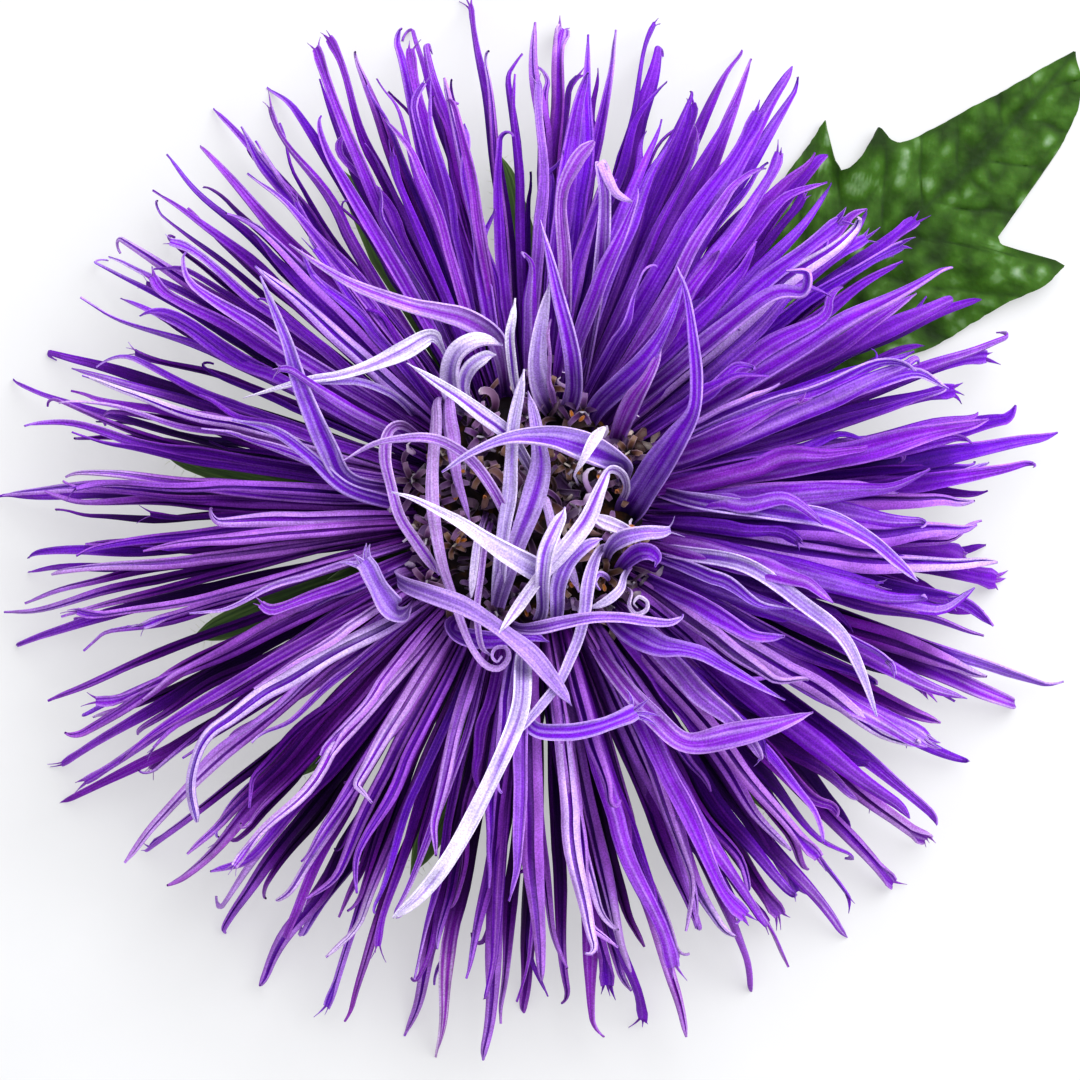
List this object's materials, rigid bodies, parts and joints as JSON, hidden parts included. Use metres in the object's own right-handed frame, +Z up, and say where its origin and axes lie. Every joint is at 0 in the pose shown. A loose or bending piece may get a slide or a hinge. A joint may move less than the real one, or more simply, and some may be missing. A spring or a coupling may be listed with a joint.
{
  "type": "aster flower",
  "caption": "Needle-flowered China aster head lying face up, violet, with a crossed pale middle, leafy bracts beneath, a cut stalk stub and a lobed leaf.",
  "frame": {"origin": "on the surface the flower lies on, under the middle of the whole part's box; the head's own axis is 1.4 mm towards -X and 1.6 mm towards +Y of it", "axes": "+Z up, out of the flower's face; the leaf points to +X and +Y; X is the longest extent because of the leaf"},
  "size_m": [0.1124, 0.1081, 0.0362],
  "materials": {
    "stalk": "satin",
    "leaf": "satin",
    "bracts": "satin",
    "rays": "satin",
    "disc": "matte"
  },
  "bodies": {
    "root": {"stalk": "stalk", "leaf": "leaf", "involucre": "bracts", "ray_florets": "rays", "disc_florets": "disc"}
  },
  "joints": []
}
